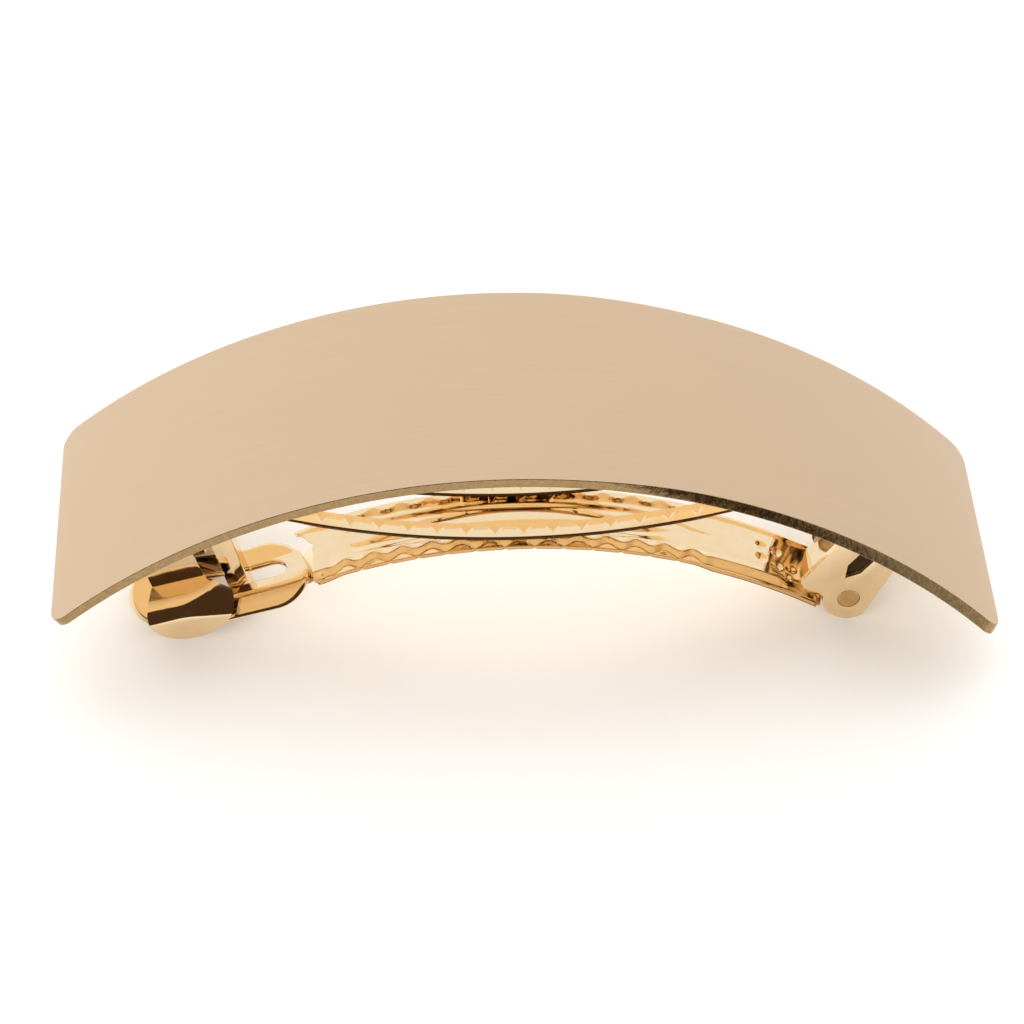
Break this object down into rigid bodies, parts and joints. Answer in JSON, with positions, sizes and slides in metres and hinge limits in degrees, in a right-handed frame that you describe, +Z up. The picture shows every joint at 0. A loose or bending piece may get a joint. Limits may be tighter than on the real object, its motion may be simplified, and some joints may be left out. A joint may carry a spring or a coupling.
{
  "type": "french barrette hair clip",
  "caption": "Closed french barrette: a curved metal cover plate on a sprung clip with a hinged arm, a bow strip and a squeeze catch.",
  "frame": {"origin": "on the surface that the closed clip stands on, under the middle of its cover plate", "axes": "+X along the barrette from the catch to the hinge, -Y towards the long side that the picture shows, +Z up through the plate"},
  "size_m": [0.097, 0.031, 0.0284],
  "materials": {
    "plate": "satin brushed, pale gold plated",
    "base_bar": "polished, gold plated",
    "hinge_pin": "polished, gold plated",
    "arm": "polished, gold plated",
    "bow": "polished, gold plated",
    "catch": "polished, gold plated"
  },
  "bodies": {
    "frame": {"plate": "plate", "base_bar": "base_bar", "hinge_pin": "hinge_pin", "bow": "bow", "catch": "catch"},
    "arm": {"arm": "arm"}
  },
  "joints": [
    {"name": "arm_hinge", "type": "hinge", "parent": "frame", "child": "arm", "pos_m": [0.034, 0, 0.00275], "axis": [0, -1, 0], "range_deg": [0, 75]}
  ]
}
